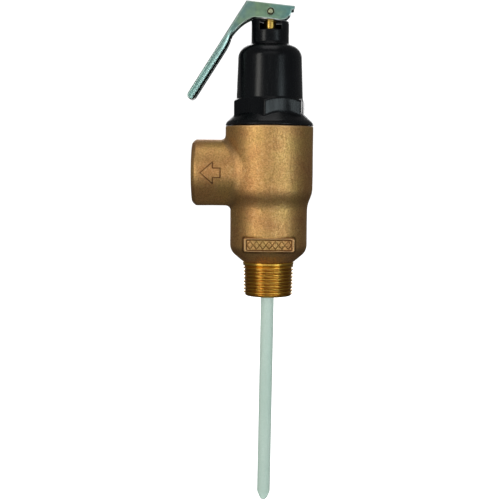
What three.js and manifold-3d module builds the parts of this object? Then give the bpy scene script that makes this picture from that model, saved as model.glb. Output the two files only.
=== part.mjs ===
// Temperature and pressure relief valve: a cast angle body with a threaded inlet below and a socket
// outlet to the side, a bonnet with the spring, a test lever on top and a thermostat probe below.
// Millimetres, +Z up along the valve's axis, outlet towards -X. The origin is the centre of the inlet
// thread's end face.
import * as THREE from "three";
import { mergeVertices } from "three/addons/utils/BufferGeometryUtils.js";
import Module from "manifold-3d";

const wasm = await Module();
wasm.setup();

// ---- Driving dimensions -------------------------------------------------------------------------
const GAP = 0.3; // left between pieces that touch
const FINE = 40; // facets of the large round pieces
const MEDIUM = 28;
const COARSE = 20;

// Inlet thread, 3/4 inch, 14 threads per inch, taper 1 in 16 on the diameter
const THREAD_PITCH = 25.4 / 14;
const THREAD_DEPTH = 1.2;
const INLET_LENGTH = 17.6;
const INLET_CREST_LOW = 12.85;
const INLET_CREST_HIGH = 13.25;
const INLET_BORE = 9.0;

// Cast body
const LOWER_R = 20.05;
const UPPER_R = 22.75;
const CASTING_END_R = 13.5;
const CONE_TOP_Z = 25.0;
const CONE_CORNER = [18.3, 21.9];
const FLOOR_Z = 46.5;
const STEP_LOW_Z = 47.6;
const STEP_HIGH_Z = 52.4;
const BODY_TOP_Z = 87.9;
const SEAT_Z = 50.0;
const SEAT_BORE = 8.0;
const CHAMBER_R = 18.6;
const LEDGE_Z = 80.0;
const BONNET_THREAD_R = 19.3;
const PLATE_WIDTH = 25.8;
const PLATE_HEIGHT = 7.0;
const PLATE_Z = 27.7;

// Outlet hub
const OUTLET_Z = 63.9;
const OUTLET_R = 17.1;
const OUTLET_X = -40.0;
const OUTLET_CHAMFER = 2.3;
const SOCKET_MOUTH_R = 12.9;
const SOCKET_END_R = 12.2;
const SOCKET_DEPTH = 16;
const PASSAGE_R = 11.0;

// Flow arrow on the hub's front
const ARROW_TIP_X = -35.4;
const ARROW_BACK_X = -28.7;
const ARROW_TAIL_X = -24.9;
const ARROW_HALF = 5.7;
const ARROW_NECK = 2.5;
const ARROW_PROUD = 0.4;

// Bonnet
const FLANGE_TOP_Z = 89.6;
const CONE_END_Z = 95.1;
const CONE_END_R = 16.9;
const HEX_ROUND_R = 19.85;
const HEX_TURN = -8 * (Math.PI / 180); // one corner stands this far from the front
const HEX_TOP_Z = 101.8;
const DRUM_LOW_R = 17.15;
const DRUM_HIGH_R = 16.4;
const DRUM_LOW_Z = 102.4;
const DOME_Z = 129.4;
const DOME_ROUND = 6.5;
const NECK_R = 9.65;
const NECK_TOP_Z = 141.3;
const NECK_SLOPE = 5.2 * (Math.PI / 180); // the neck's top falls towards +X
const SLOT_WIDTH = 11.0; // cut through the neck's front wall alone
const SLOT_FLOOR_Z = 136.6;
const SPRING_ROOM_R = 13.8;
const SPRING_ROOM_Z = 119.0; // the room is straight up to here, then narrows to the screw's bore
const SCREW_BORE_R = 7.3;
const SCREW_BORE_Z = 126.6;

// Stem, lever and pin
const STEM_R = 2.2;
const STEM_END_R = 3.0;
const STEM_STEP_Z = 128.0;
const PIN_R = 1.3;
const PIN_HEAD_R = 1.9;
const PIN_Z = 145.8;
const PIN_CLEARANCE = 0.3;
const SHEET = 1.2;
const LEVER_WIDTH = 11.6;
const WASHER_THICKNESS = 0.5;
const WASHER_LIFT = 0.1; // between the neck, the washer and the lever's cams
const CAM_RISE = 5.15; // rise for each radian of the lever
const LEVER_TRAVEL = 55 * (Math.PI / 180);
const ARM_FALL = 57.5 * (Math.PI / 180); // the arm's slope below level
const ARM_DEPTH = 4.6;
const ARM_LENGTH = 57.4; // from the crest to the tip
const LIP = 1.6; // the arm's edges curl in this far past their own thickness
const NOTCH_DOWN = 17.7; // where the arm's lip starts, from the crest
const NOTCH_DEPTH = 3.15;
const LIP_FULL_DOWN = 25.5; // where the lip has its full depth
const LEVER_CREST = new THREE.Vector2(-12.4, 5.4); // from the pin, along X and Z
const LEVER_NOSE = new THREE.Vector2(12.3, 2.75);
const LEVER_COVER = -6.5; // the web covers the ears' top up to here

// Disc and diaphragm
const DISC_Z = SEAT_Z + GAP;
const DISC_R = 10.2;
const DISC_THICKNESS = 3.0;
const RETAINER_R = 3.0;
const RETAINER_HEAD = 2.4;
const HOLDER_R = 12.2;
const HUB_R = 6.0;
const HUB_TOP_Z = 84.7;
const POCKET_R = 4.4;
const HEAD_HEIGHT = 2.7; // the stem's head in the pocket
const DIAPHRAGM_Z = LEDGE_Z + GAP;
const DIAPHRAGM_THICKNESS = 1.2;
const BUTTON_Z = DIAPHRAGM_Z + DIAPHRAGM_THICKNESS + GAP;
const BUTTON_R = 11.5;
const BUTTON_TOP_Z = BUTTON_Z + 3.2;

// Spring
const WIRE_R = 1.3;
const COIL_R = 9.6;
const COIL_TURNS = 6;
const UPPER_SEAT_Z = 116.5;
const UPPER_SEAT_R = 12.2;
const SPRING_LOW_Z = BUTTON_TOP_Z + GAP;
const SPRING_HIGH_Z = UPPER_SEAT_Z - GAP;

// Thermostat
const GUIDE_LOW_Z = 20.0;
const GUIDE_HIGH_Z = 27.0;
const TUBE_R = 2.9;
const TUBE_BORE = 2.2;
const TUBE_LOW_Z = -109.0;
const TUBE_HIGH_Z = 31.0;
const TUBE_COLLAR_R = 4.2;
const COAT_R = 3.4;
const COAT_LOW_Z = -110.0;
const COAT_HIGH_Z = GUIDE_LOW_Z - GAP;
const WAX_TOP_Z = 16.0;
const PLUG_TOP_Z = 22.0;
const ROD_R = 1.6;
const PROBE_LEAN = 0.67 * (Math.PI / 180); // the probe's tip stands a little towards the outlet

// ---- Solids -------------------------------------------------------------------------------------
// A three.js geometry as a manifold-3d solid.
function solid(geometry, matrix = new THREE.Matrix4()) {
  const flat = geometry.index ? geometry.toNonIndexed() : geometry.clone();
  const bare = new THREE.BufferGeometry();
  bare.setAttribute("position", flat.getAttribute("position"));
  bare.applyMatrix4(matrix);
  const merged = mergeVertices(bare, 1e-4);
  return new wasm.Manifold(
    new wasm.Mesh({
      numProp: 3,
      vertProperties: merged.attributes.position.array,
      triVerts: new Uint32Array(merged.index.array),
    }),
  );
}

// A manifold-3d solid as a three.js geometry.
function geometryOf(made) {
  const { vertProperties, triVerts } = made.getMesh();
  const geometry = new THREE.BufferGeometry();
  geometry.setAttribute("position", new THREE.BufferAttribute(vertProperties, 3));
  geometry.setIndex(new THREE.BufferAttribute(triVerts, 1));
  const flat = geometry.toNonIndexed();
  flat.computeVertexNormals();
  return flat;
}

// A turned solid about Z. The profile runs from the bottom to the top as [radius, height] pairs, and
// starts and ends on the axis or closes on itself.
function turned(profile, facets = FINE) {
  const points = profile.map(([r, z]) => new THREE.Vector2(r, z));
  const geometry = new THREE.LatheGeometry(points, facets);
  geometry.rotateX(Math.PI / 2);
  return solid(geometry);
}

// A ring about Z: its outline as [radius, height] pairs, running anticlockwise.
function ring(outline, facets = FINE) {
  return turned([...outline, outline[0]], facets);
}

// A plain round bar along Z between two heights.
function bar(r, low, high, facets = COARSE) {
  return turned([[0, low], [r, low], [r, high], [0, high]], facets);
}

// A tapered bar along X, from x = a with radius ra to x = b with radius rb.
function barAlongX(a, ra, b, rb, z, facets = FINE) {
  const low = Math.min(a, b);
  const geometry = new THREE.CylinderGeometry(rb, ra, Math.abs(b - a), facets);
  geometry.rotateZ(b > a ? -Math.PI / 2 : Math.PI / 2);
  geometry.translate(low + Math.abs(b - a) / 2, 0, z);
  return solid(geometry);
}

// A round bar along Y between two places.
function barAlongY(r, x, z, from, to, facets = COARSE) {
  const geometry = new THREE.CylinderGeometry(r, r, to - from, facets);
  geometry.translate(0, (from + to) / 2, 0);
  return solid(geometry, new THREE.Matrix4().makeTranslation(x, 0, z));
}

function block(width, depth, height, x, y, z) {
  return solid(new THREE.BoxGeometry(width, depth, height).translate(x, y, z));
}

// An outline in the X-Z plane, as a THREE.Shape, extruded along Y between two places.
function extrudedAlongY(shape, from, to) {
  const geometry = new THREE.ExtrudeGeometry(shape, {
    depth: to - from,
    bevelEnabled: false,
    curveSegments: 8,
  });
  const upright = new THREE.Matrix4().makeRotationX(Math.PI / 2);
  return solid(geometry, new THREE.Matrix4().makeTranslation(0, to, 0).multiply(upright));
}

// Joins a list of solids into one.
function joined(parts) {
  return parts.reduce((whole, next) => whole.add(next));
}

const group = new THREE.Group();
group.name = "relief_valve";

// The probe's pieces are made upright, and lean together about the middle of their guide.
const probe = new THREE.Group();
const guideMiddle = (GUIDE_LOW_Z + GUIDE_HIGH_Z) / 2;
probe.position.set(0, 0, guideMiddle);
probe.rotation.y = PROBE_LEAN;
group.add(probe);

function place(name, made, [color, roughness, metalness], holder = group) {
  const material = new THREE.MeshStandardMaterial({ color, roughness, metalness });
  const mesh = new THREE.Mesh(geometryOf(made), material);
  mesh.name = name;
  if (holder === probe) mesh.position.z = -guideMiddle;
  holder.add(mesh);
}

const FINISH = {
  bronze: [0xb48a52, 0.6, 0.7],
  black: [0x14161a, 0.35, 0.0],
  brass: [0xc99a3a, 0.3, 0.9],
  plated: [0x86ad9a, 0.3, 0.9],
  steel: [0xb8bcc0, 0.35, 0.9],
  springSteel: [0x70747a, 0.4, 0.9],
  copper: [0xb06a45, 0.35, 0.9],
  coating: [0xb6cfc0, 0.45, 0.0],
  rubber: [0x2a2a2c, 0.8, 0.0],
  wax: [0xb8642e, 0.7, 0.1],
};

// ---- Body ---------------------------------------------------------------------------------------
// The thread's crests and roots from the end face up, cut as rings along the taper.
function inletThreadProfile() {
  const taper = (INLET_CREST_HIGH - INLET_CREST_LOW) / INLET_LENGTH;
  const count = Math.floor((INLET_LENGTH - 1.5) / THREAD_PITCH);
  const profile = [[INLET_CREST_LOW - THREAD_DEPTH, 0]];
  for (let i = 0; i < count; i++) {
    const crest = 0.9 + i * THREAD_PITCH;
    const root = crest + THREAD_PITCH / 2;
    profile.push([INLET_CREST_LOW + taper * crest, crest]);
    profile.push([INLET_CREST_LOW + taper * root - THREAD_DEPTH, root]);
  }
  const last = 0.9 + count * THREAD_PITCH;
  profile.push([INLET_CREST_HIGH, last]);
  return profile;
}

// A raised arrow that points along -X, on the hub's front. Its face follows the hub.
function flowArrow() {
  const top = [
    [ARROW_TIP_X, 0], [ARROW_BACK_X, ARROW_HALF], [ARROW_BACK_X, ARROW_NECK], [ARROW_TAIL_X, ARROW_NECK],
  ];
  const bottom = top.slice(1).reverse().map(([x, z]) => [x, -z]);
  const corners = [...top, ...bottom].map(([x, z]) => new THREE.Vector2(x, z + OUTLET_Z));
  const pad = extrudedAlongY(new THREE.Shape(corners), -OUTLET_R - 1, -OUTLET_R + 3);
  const r = OUTLET_R + ARROW_PROUD;
  return pad.intersect(barAlongX(ARROW_TIP_X - 1, r, ARROW_TAIL_X + 1, r, OUTLET_Z));
}

// The framed plate low on the front: a boss that stands off the casting, with a sunk field.
function framedPlate() {
  const front = LOWER_R + 0.7;
  const depth = 8;
  const boss = block(PLATE_WIDTH, depth, PLATE_HEIGHT, 0, depth / 2 - front, PLATE_Z);
  const field = block(PLATE_WIDTH - 2.4, 1.2, PLATE_HEIGHT - 2.2, 0, -front, PLATE_Z);
  return boss.subtract(field);
}

function body() {
  const outside = turned([
    [0, 0],
    ...inletThreadProfile(),
    [INLET_CREST_HIGH, INLET_LENGTH],
    [CASTING_END_R, INLET_LENGTH],
    CONE_CORNER,
    [LOWER_R, CONE_TOP_Z],
    [LOWER_R, STEP_LOW_Z],
    [UPPER_R, STEP_HIGH_Z],
    [UPPER_R, BODY_TOP_Z - 0.5],
    [UPPER_R - 0.5, BODY_TOP_Z],
    [0, BODY_TOP_Z],
  ]);
  const hub = barAlongX(OUTLET_X + OUTLET_CHAMFER, OUTLET_R, 0, OUTLET_R, OUTLET_Z);
  const rim = barAlongX(
    OUTLET_X, OUTLET_R - OUTLET_CHAMFER, OUTLET_X + OUTLET_CHAMFER, OUTLET_R, OUTLET_Z);
  const inside = turned([
    [0, -1],
    [INLET_BORE, -1],
    [INLET_BORE, 42],
    [SEAT_BORE, 44],
    [SEAT_BORE, SEAT_Z - 0.6],
    [SEAT_BORE + 0.6, SEAT_Z],
    [SEAT_BORE + 0.6, SEAT_Z + 1],
    [CHAMBER_R, STEP_HIGH_Z],
    [CHAMBER_R, LEDGE_Z - 2],
    [BONNET_THREAD_R - 3, LEDGE_Z - 1],
    [BONNET_THREAD_R - 3, LEDGE_Z],
    [BONNET_THREAD_R, LEDGE_Z],
    [BONNET_THREAD_R, BODY_TOP_Z + 1],
    [0, BODY_TOP_Z + 1],
  ], MEDIUM);
  const gallery = ring([
    [SEAT_BORE + 1.8, FLOOR_Z],
    [LOWER_R - 3.6, FLOOR_Z],
    [CHAMBER_R, STEP_HIGH_Z],
    [SEAT_BORE + 1.6, STEP_HIGH_Z],
    [SEAT_BORE + 1.0, SEAT_Z],
  ], MEDIUM);
  const aboveSeat = bar(CHAMBER_R - 3, SEAT_Z, STEP_HIGH_Z + 1, MEDIUM);
  const socketEnd = OUTLET_X + SOCKET_DEPTH;
  const countersink = barAlongX(
    OUTLET_X - 1, SOCKET_MOUTH_R + 1.2, OUTLET_X + 1.4, SOCKET_MOUTH_R, OUTLET_Z, MEDIUM);
  const socket = barAlongX(OUTLET_X, SOCKET_MOUTH_R, socketEnd, SOCKET_END_R, OUTLET_Z, MEDIUM);
  const passage = barAlongX(socketEnd - 1, PASSAGE_R, -6, PASSAGE_R, OUTLET_Z, MEDIUM);
  return joined([outside, hub, rim, framedPlate(), flowArrow()])
    .subtract(joined([inside, gallery, aboveSeat, countersink, socket, passage]));
}

// ---- Bonnet -------------------------------------------------------------------------------------
// A quarter circle from one angle to another, as [radius, height] pairs.
function arc(centreR, centreZ, r, from, to, steps) {
  return Array.from({ length: steps + 1 }, (_, i) => {
    const angle = from + ((to - from) * i) / steps;
    return [centreR + r * Math.cos(angle), centreZ + r * Math.sin(angle)];
  });
}

// The hexagon: a six-sided bar whose corners are turned off by a cone at the top and one below.
function hexagon() {
  const shape = new THREE.Shape(
    Array.from({ length: 6 }, (_, i) => {
      const angle = -Math.PI / 2 + HEX_TURN + (i * Math.PI) / 3;
      return new THREE.Vector2(HEX_ROUND_R * Math.cos(angle), HEX_ROUND_R * Math.sin(angle));
    }),
  );
  const bottom = FLANGE_TOP_Z;
  const geometry = new THREE.ExtrudeGeometry(shape, {
    depth: HEX_TOP_Z - bottom,
    bevelEnabled: false,
  });
  geometry.translate(0, 0, bottom);
  const corners = turned([
    [0, bottom],
    [HEX_ROUND_R + 0.2, bottom],
    [HEX_ROUND_R + 0.2, HEX_TOP_Z - 1.6],
    [DRUM_LOW_R + 0.5, HEX_TOP_Z],
    [0, HEX_TOP_Z],
  ]);
  return solid(geometry).intersect(corners);
}

// The half-space above the neck's sloping top, raised by a distance square to it.
function aboveNeck(raise) {
  const size = 60;
  const geometry = new THREE.BoxGeometry(size, size, size);
  geometry.translate(0, 0, size / 2 + raise);
  const lean = new THREE.Matrix4().makeRotationY(NECK_SLOPE);
  return solid(geometry, new THREE.Matrix4().makeTranslation(0, 0, NECK_TOP_Z).multiply(lean));
}

function bonnet() {
  const threadLow = LEDGE_Z + 3.3;
  const threadR = BONNET_THREAD_R - GAP;
  const outside = turned([
    [0, threadLow],
    [threadR, threadLow],
    [threadR, BODY_TOP_Z + GAP],
    [UPPER_R, BODY_TOP_Z + GAP],
    [UPPER_R, FLANGE_TOP_Z],
    [CONE_END_R, CONE_END_Z],
    [CONE_END_R, HEX_TOP_Z - 1],
    [DRUM_LOW_R, DRUM_LOW_Z],
    ...arc(DRUM_HIGH_R - DOME_ROUND, DOME_Z - DOME_ROUND, DOME_ROUND, 0, Math.PI / 2, 5),
    [NECK_R, DOME_Z],
    [NECK_R - 0.15, NECK_TOP_Z + 2],
    [0, NECK_TOP_Z + 2],
  ]);
  const room = turned([
    [0, threadLow - 1],
    [SPRING_ROOM_R, threadLow - 1],
    [SPRING_ROOM_R, SPRING_ROOM_Z],
    [SPRING_ROOM_R - 4, SCREW_BORE_Z - 0.6],
    [SCREW_BORE_R, SCREW_BORE_Z],
    [SCREW_BORE_R, NECK_TOP_Z + 3],
    [0, NECK_TOP_Z + 3],
  ], MEDIUM);
  const slot = block(SLOT_WIDTH, 2 * NECK_R, 10, 0, -NECK_R, SLOT_FLOOR_Z + 5);
  return outside.add(hexagon()).subtract(joined([room, slot, aboveNeck(0)]));
}

// ---- Washer, lever, pin and stem ----------------------------------------------------------------
function wearWasher() {
  const blank = ring([
    [STEM_END_R + 0.6, 130],
    [NECK_R - 0.1, 130],
    [NECK_R - 0.1, 150],
    [STEM_END_R + 0.6, 150],
  ], MEDIUM);
  return blank.intersect(aboveNeck(WASHER_LIFT)).subtract(aboveNeck(WASHER_LIFT + WASHER_THICKNESS));
}

// The cam under the pin. Its edge is an involute, so the lift is in step with the lever's angle.
function camPoint(turn) {
  const washerTop = (PIN_Z - NECK_TOP_Z) * Math.cos(NECK_SLOPE) - WASHER_THICKNESS - WASHER_LIFT;
  const down = -Math.PI / 2 - NECK_SLOPE + turn;
  const reach = washerTop - WASHER_LIFT + CAM_RISE * turn;
  return new THREE.Vector2(
    reach * Math.cos(down) - CAM_RISE * Math.sin(down),
    reach * Math.sin(down) + CAM_RISE * Math.cos(down),
  );
}

// A place on the lever's side: so far down the arm's back from the crest, and so far in from it.
function onArm(down, inward) {
  const fall = new THREE.Vector2(-Math.cos(ARM_FALL), -Math.sin(ARM_FALL));
  const across = new THREE.Vector2(-fall.y, fall.x);
  return LEVER_CREST.clone().addScaledVector(fall, down).addScaledVector(across, inward);
}

// A shape from a list of steps: a point to go to, or a pair of points to curve by and to.
function outline(steps) {
  const shape = new THREE.Shape();
  shape.moveTo(steps[0].x, steps[0].y);
  steps.slice(1).forEach((step) => {
    if (Array.isArray(step)) shape.quadraticCurveTo(step[0].x, step[0].y, step[1].x, step[1].y);
    else shape.lineTo(step.x, step.y);
  });
  shape.closePath();
  return shape;
}

// The ear, seen from the front: the crest, the back, the notch where the arm's lip starts, the curve
// over the neck, the cam and the nose.
function earOutline() {
  const spot = (x, z) => new THREE.Vector2(x, z);
  const cam = Array.from({ length: 7 }, (_, i) => camPoint((LEVER_TRAVEL * i) / 6));
  return outline([
    LEVER_CREST,
    onArm(20, 0),
    onArm(NOTCH_DOWN, NOTCH_DEPTH),
    [spot(-14.2, -4.6), spot(-8.5, -3.0)],
    [spot(-5, -2.8), cam[0]],
    ...cam.slice(1),
    spot(LEVER_NOSE.x - 1.9, -1.0),
    spot(LEVER_NOSE.x - 1.7, 0.8),
    spot(LEVER_NOSE.x, 1.2),
    LEVER_NOSE,
  ]);
}

// The arm from the ear to its rounded tip.
function armOutline() {
  return outline([
    onArm(8, 0),
    onArm(ARM_LENGTH - 1.7, 0),
    [onArm(ARM_LENGTH, 0), onArm(ARM_LENGTH, 1.5)],
    [onArm(ARM_LENGTH, ARM_DEPTH), onArm(ARM_LENGTH - 3.5, ARM_DEPTH)],
    onArm(LIP_FULL_DOWN, ARM_DEPTH),
    onArm(NOTCH_DOWN, NOTCH_DEPTH),
    onArm(8, NOTCH_DEPTH),
  ]);
}

// What is cut out between the lever's sides: all below the web, and above the ears past the cover.
function hollowOutline() {
  const far = 40;
  const end = ARM_LENGTH - SHEET;
  const under = LEVER_CREST.y - SHEET - 0.6;
  const lipTop = ARM_DEPTH - SHEET;
  return outline([
    new THREE.Vector2(LEVER_CREST.x + 0.6, under),
    onArm(end, SHEET),
    onArm(end, lipTop),
    onArm(NOTCH_DOWN, lipTop),
    onArm(NOTCH_DOWN, far),
    new THREE.Vector2(far, -far),
    new THREE.Vector2(far, far),
    new THREE.Vector2(LEVER_COVER, far),
    new THREE.Vector2(LEVER_COVER, under),
  ]);
}

function lever() {
  const half = LEVER_WIDTH / 2;
  const inner = half - SHEET;
  const end = ARM_LENGTH - SHEET;
  const between = outline([onArm(end, 2), onArm(end, 12), onArm(17, 12), onArm(17, 2)]);
  const sides = [earOutline(), armOutline()].map((shape) => extrudedAlongY(shape, -half, half));
  const cuts = [
    extrudedAlongY(hollowOutline(), -inner, inner),
    extrudedAlongY(between, LIP - inner, inner - LIP),
    barAlongY(PIN_R + PIN_CLEARANCE, 0, 0, -half - 1, half + 1, 16),
  ];
  return joined(sides).subtract(joined(cuts)).translate([0, 0, PIN_Z]);
}

function leverPin() {
  const head = LEVER_WIDTH / 2 + GAP;
  const shank = barAlongY(PIN_R, 0, PIN_Z, -head - 0.4, head + 0.4, 16);
  const front = barAlongY(PIN_HEAD_R, 0, PIN_Z, -head - 0.7, -head, 16);
  const back = barAlongY(PIN_HEAD_R, 0, PIN_Z, head, head + 0.7, 16);
  return joined([shank, front, back]);
}

function stem() {
  const rod = turned([
    [0, HUB_TOP_Z - HEAD_HEIGHT],
    [POCKET_R - 0.5, HUB_TOP_Z - HEAD_HEIGHT],
    [POCKET_R - 0.5, HUB_TOP_Z],
    [STEM_R, HUB_TOP_Z],
    [STEM_R, STEM_STEP_Z],
    [STEM_END_R, STEM_STEP_Z + 1],
    [STEM_END_R, PIN_Z + 2.6],
    [STEM_END_R - 0.6, PIN_Z + 3.2],
    [0, PIN_Z + 3.2],
  ], COARSE);
  return rod.subtract(barAlongY(PIN_R + PIN_CLEARANCE, 0, PIN_Z, -8, 8, 16));
}

// ---- Spring and its seats -----------------------------------------------------------------------
function adjustingScrew() {
  const low = UPPER_SEAT_Z + 2.6;
  const high = SLOT_FLOOR_Z - 0.6;
  const r = SCREW_BORE_R - GAP;
  const screw = ring([
    [STEM_END_R + 0.5, low],
    [5.2, low],
    [r, low + 1.8],
    [r, high],
    [STEM_END_R + 0.5, high],
  ], COARSE);
  return screw.subtract(block(3 * r, 2.0, 3.0, 0, 0, high));
}

function upperSpringSeat() {
  return ring([
    [STEM_R + 0.6, UPPER_SEAT_Z - 2.4],
    [COIL_R - WIRE_R - 0.6, UPPER_SEAT_Z - 2.4],
    [COIL_R - WIRE_R - 0.6, UPPER_SEAT_Z],
    [UPPER_SEAT_R, UPPER_SEAT_Z],
    [UPPER_SEAT_R, UPPER_SEAT_Z + 1.2],
    [6.0, UPPER_SEAT_Z + 2.3],
    [STEM_R + 0.6, UPPER_SEAT_Z + 2.3],
  ], COARSE);
}

// The spring's wire winds up at an even pitch between two closed end turns that are ground flat.
class CoilCurve extends THREE.Curve {
  getPoint(t, target = new THREE.Vector3()) {
    const turns = COIL_TURNS + 2;
    const turn = turns * t;
    const rise = Math.min(Math.max(turn - 1, 0), COIL_TURNS) / COIL_TURNS;
    const closed = 2 * WIRE_R * 0.92;
    const low = SPRING_LOW_Z + WIRE_R * 0.55;
    const high = SPRING_HIGH_Z - WIRE_R * 0.55;
    const ends = Math.min(turn, 1) + Math.max(turn - 1 - COIL_TURNS, 0);
    const z = low + closed * ends + rise * (high - low - 2 * closed);
    const angle = 2 * Math.PI * turn;
    return target.set(COIL_R * Math.cos(angle), COIL_R * Math.sin(angle), z);
  }
}

function spring() {
  const section = new THREE.Shape(
    Array.from({ length: 8 }, (_, i) => {
      const angle = (i * Math.PI) / 4;
      return new THREE.Vector2(WIRE_R * Math.cos(angle), WIRE_R * Math.sin(angle));
    }),
  );
  const wire = new THREE.ExtrudeGeometry(section, {
    steps: (COIL_TURNS + 2) * 16,
    extrudePath: new CoilCurve(),
  });
  const between = bar(COIL_R + 4, SPRING_LOW_Z, SPRING_HIGH_Z);
  return solid(wire).intersect(between);
}

function lowerSpringSeat() {
  return ring([
    [HUB_R + GAP, BUTTON_Z],
    [BUTTON_R, BUTTON_Z],
    [BUTTON_R, BUTTON_TOP_Z],
    [COIL_R - WIRE_R - 0.6, BUTTON_TOP_Z],
    [COIL_R - WIRE_R - 0.6, BUTTON_TOP_Z + 3],
    [STEM_R + 0.4, BUTTON_TOP_Z + 3],
    [STEM_R + 0.4, HUB_TOP_Z + GAP],
    [HUB_R + GAP, HUB_TOP_Z + GAP],
  ], COARSE);
}

function slipRing() {
  const low = DIAPHRAGM_Z + DIAPHRAGM_THICKNESS + GAP;
  return ring([
    [14.6, low],
    [BONNET_THREAD_R - GAP, low],
    [BONNET_THREAD_R - GAP, low + 0.9],
    [14.6, low + 0.9],
  ], MEDIUM);
}

function diaphragm() {
  const top = DIAPHRAGM_Z + DIAPHRAGM_THICKNESS;
  return ring([
    [HUB_R + GAP, DIAPHRAGM_Z],
    [BONNET_THREAD_R - GAP, DIAPHRAGM_Z],
    [BONNET_THREAD_R - GAP, top],
    [HUB_R + GAP, top],
  ], MEDIUM);
}

// ---- Disc ---------------------------------------------------------------------------------------
function discHolder() {
  const web = DISC_Z + DISC_THICKNESS + GAP;
  const shoulder = LEDGE_Z;
  const bore = RETAINER_R + GAP;
  return ring([
    [bore, web],
    [DISC_R + GAP, web],
    [DISC_R + GAP, web - 1.4],
    [HOLDER_R, web - 1.4],
    [HOLDER_R, web + 1.6],
    [HUB_R + 1, web + 3.6],
    [HUB_R, web + 6],
    [HUB_R, shoulder - 4],
    [9.2, shoulder - 1.6],
    [9.2, shoulder],
    [HUB_R, shoulder],
    [HUB_R, HUB_TOP_Z],
    [POCKET_R, HUB_TOP_Z],
    [POCKET_R, 70],
    [bore, 68.5],
  ], MEDIUM);
}

function seatDisc() {
  const bore = RETAINER_R + GAP;
  const top = DISC_Z + DISC_THICKNESS;
  return ring([[bore, DISC_Z], [DISC_R, DISC_Z], [DISC_R, top], [bore, top]], MEDIUM);
}

function discRetainer() {
  const top = DISC_Z - GAP;
  const head = turned([
    [0, top - RETAINER_HEAD],
    [4.6, top - RETAINER_HEAD],
    [6.3, top - RETAINER_HEAD + 1],
    [6.3, top],
    [RETAINER_R, top],
    [RETAINER_R, top + 9],
    [0, top + 9],
  ], COARSE);
  return head.subtract(block(14, 1.2, 2, 0, 0, top - RETAINER_HEAD - 0.2));
}

// ---- Thermostat ---------------------------------------------------------------------------------
// The spider: an outer ring and a hub on three arms, with water passing between them.
function thermostatGuide() {
  const height = GUIDE_HIGH_Z - GUIDE_LOW_Z;
  const outer = ring([
    [7.6, GUIDE_LOW_Z],
    [INLET_BORE - GAP, GUIDE_LOW_Z],
    [INLET_BORE - GAP, GUIDE_HIGH_Z],
    [7.6, GUIDE_HIGH_Z],
  ], COARSE);
  const arms = Array.from({ length: 3 }, (_, i) => {
    const turn = new THREE.Matrix4().makeRotationZ((i * 2 * Math.PI) / 3 + Math.PI / 6);
    const geometry = new THREE.BoxGeometry(4.6, 1.8, height - 1).translate(5.8, 0, guideMiddle);
    return solid(geometry, turn);
  });
  const hub = bar(4.4, GUIDE_LOW_Z, GUIDE_HIGH_Z);
  return joined([outer, hub, ...arms]).subtract(bar(TUBE_R + GAP, 0, 40));
}

function thermostatTube() {
  return turned([
    [0, TUBE_LOW_Z],
    [1.4, TUBE_LOW_Z],
    [TUBE_R, TUBE_LOW_Z + 3],
    [TUBE_R, GUIDE_HIGH_Z + GAP],
    [TUBE_COLLAR_R, GUIDE_HIGH_Z + GAP],
    [TUBE_COLLAR_R, TUBE_HIGH_Z],
    [TUBE_BORE, TUBE_HIGH_Z],
    [TUBE_BORE, TUBE_LOW_Z + 3],
    [0, TUBE_LOW_Z + 2],
  ], COARSE);
}

function probeCoating() {
  const inside = TUBE_R + 0.1;
  return turned([
    [0, COAT_LOW_Z],
    [0.9, COAT_LOW_Z],
    [1.9, COAT_LOW_Z + 1],
    [COAT_R, COAT_LOW_Z + 4.4],
    [COAT_R, COAT_HIGH_Z],
    [inside, COAT_HIGH_Z],
    [inside, TUBE_LOW_Z + 2.9],
    [1.4, TUBE_LOW_Z - 0.2],
    [0, TUBE_LOW_Z - 0.2],
  ], COARSE);
}

function waxCharge() {
  const r = TUBE_BORE - 0.15;
  return turned([
    [0, TUBE_LOW_Z + 2.4],
    [r, TUBE_LOW_Z + 3.4],
    [r, WAX_TOP_Z],
    [0, WAX_TOP_Z],
  ], 12);
}

function elementPlug() {
  return bar(TUBE_BORE - 0.15, WAX_TOP_Z + GAP, PLUG_TOP_Z, 12);
}

function pushRod() {
  const top = DISC_Z - GAP - RETAINER_HEAD - GAP;
  return turned([
    [0, PLUG_TOP_Z + GAP],
    [ROD_R, PLUG_TOP_Z + GAP],
    [ROD_R, top - 1],
    [ROD_R - 0.6, top],
    [0, top],
  ], 12);
}

// ---- Assembly -----------------------------------------------------------------------------------
place("body", body(), FINISH.bronze);
place("bonnet", bonnet(), FINISH.black);
place("wear_washer", wearWasher(), FINISH.steel);
place("lever", lever(), FINISH.plated);
place("lever_pin", leverPin(), FINISH.steel);
place("stem", stem(), FINISH.brass);
place("adjusting_screw", adjustingScrew(), FINISH.brass);
place("upper_spring_seat", upperSpringSeat(), FINISH.steel);
place("spring", spring(), FINISH.springSteel);
place("lower_spring_seat", lowerSpringSeat(), FINISH.steel);
place("slip_ring", slipRing(), FINISH.steel);
place("diaphragm", diaphragm(), FINISH.rubber);
place("disc_holder", discHolder(), FINISH.brass);
place("seat_disc", seatDisc(), FINISH.rubber);
place("disc_retainer", discRetainer(), FINISH.brass);
place("thermostat_guide", thermostatGuide(), FINISH.brass);
place("thermostat_tube", thermostatTube(), FINISH.copper, probe);
place("probe_coating", probeCoating(), FINISH.coating, probe);
place("wax_charge", waxCharge(), FINISH.wax, probe);
place("element_plug", elementPlug(), FINISH.rubber, probe);
place("push_rod", pushRod(), FINISH.steel);

export default group;
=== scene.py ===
# The looks of a temperature and pressure relief valve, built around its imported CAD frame.
# Shapes are made in millimetres and turned into metres when a mesh is made. +Z runs up the valve's
# axis, the outlet points along -X, and the plate and the arrow face -Y.
import itertools
import math

import bpy
import numpy as np
from mathutils import Matrix, Vector


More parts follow.
